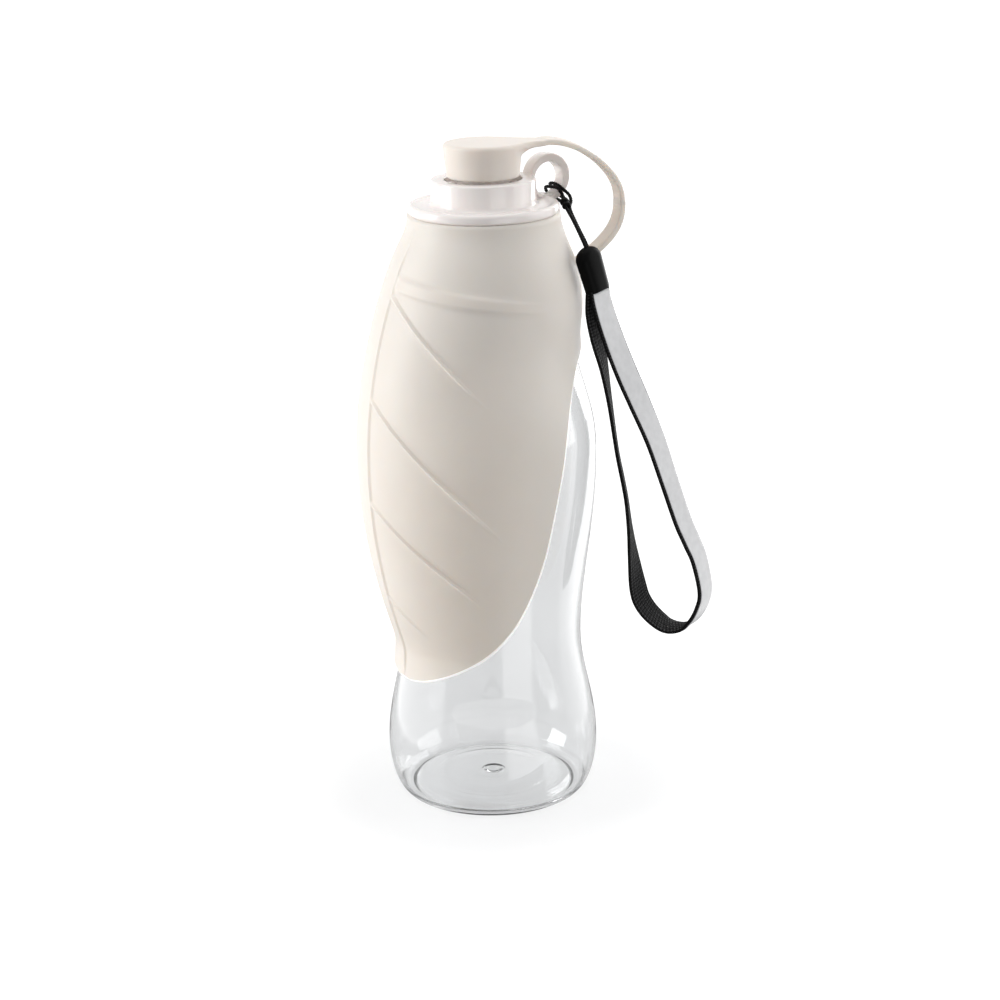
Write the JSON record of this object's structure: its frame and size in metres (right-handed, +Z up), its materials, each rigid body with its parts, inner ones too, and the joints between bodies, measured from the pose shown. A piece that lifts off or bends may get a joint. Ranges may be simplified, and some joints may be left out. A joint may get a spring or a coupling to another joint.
{
  "type": "dog travel water bottle",
  "caption": "Clear waisted drinking bottle in a folded soft leaf that opens into a trough, with a screw cap, a spout stopper on a strap and a wrist lanyard.",
  "frame": {"origin": "on the bottle's axis, in the plane of its foot ring", "axes": "+Z up along the bottle's axis; -Y is the pictured front; +X is to the right, the side of the strap and the lanyard"},
  "size_m": [0.1198, 0.0808, 0.2253],
  "materials": {
    "clear_plastic": "clear, glossy",
    "cream_silicone": "matte",
    "white_plastic": "glossy",
    "seal_silicone": "matte",
    "black_cord": "braided",
    "black_plastic": "satin",
    "black_webbing": "woven",
    "reflective_tape": "satin, retro-reflective"
  },
  "bodies": {
    "bottle": {"bottle": "clear_plastic"},
    "trough": {"leaf_trough": "cream_silicone", "stopper_strap": "cream_silicone"},
    "cap": {"cap": "white_plastic", "cap_gasket": "seal_silicone"},
    "stopper": {"stopper": "cream_silicone"},
    "lanyard": {"lanyard_cord": "black_cord", "lanyard_crimp": "black_plastic", "lanyard_bead": "black_plastic", "lanyard_webbing": "black_webbing", "reflective_tape": "reflective_tape"}
  },
  "joints": [
    {"name": "cap_turn", "type": "hinge", "parent": "bottle", "child": "trough", "pos_m": [0, 0, 0.2008], "axis": [0, 0, 1], "range_deg": [0, 720]},
    {"name": "cap_lift", "type": "slide", "parent": "trough", "child": "cap", "axis": [0, 0, 1], "range_m": [0, 0.0064]},
    {"name": "stopper_pull", "type": "slide", "parent": "cap", "child": "stopper", "axis": [0, 0, 1], "range_m": [0, 0.015], "deforming": ["stopper_strap"]},
    {"name": "lanyard_swing", "type": "hinge", "parent": "cap", "child": "lanyard", "pos_m": [0.0249, 0.01616, 0.20707], "axis": [0, -1, 0], "range_deg": [0, 75], "deforming": ["lanyard_cord"]}
  ],
  "couplings": [
    {"joint": "cap_lift", "follows": "cap_turn", "m_per_rad": 0.00050532}
  ]
}
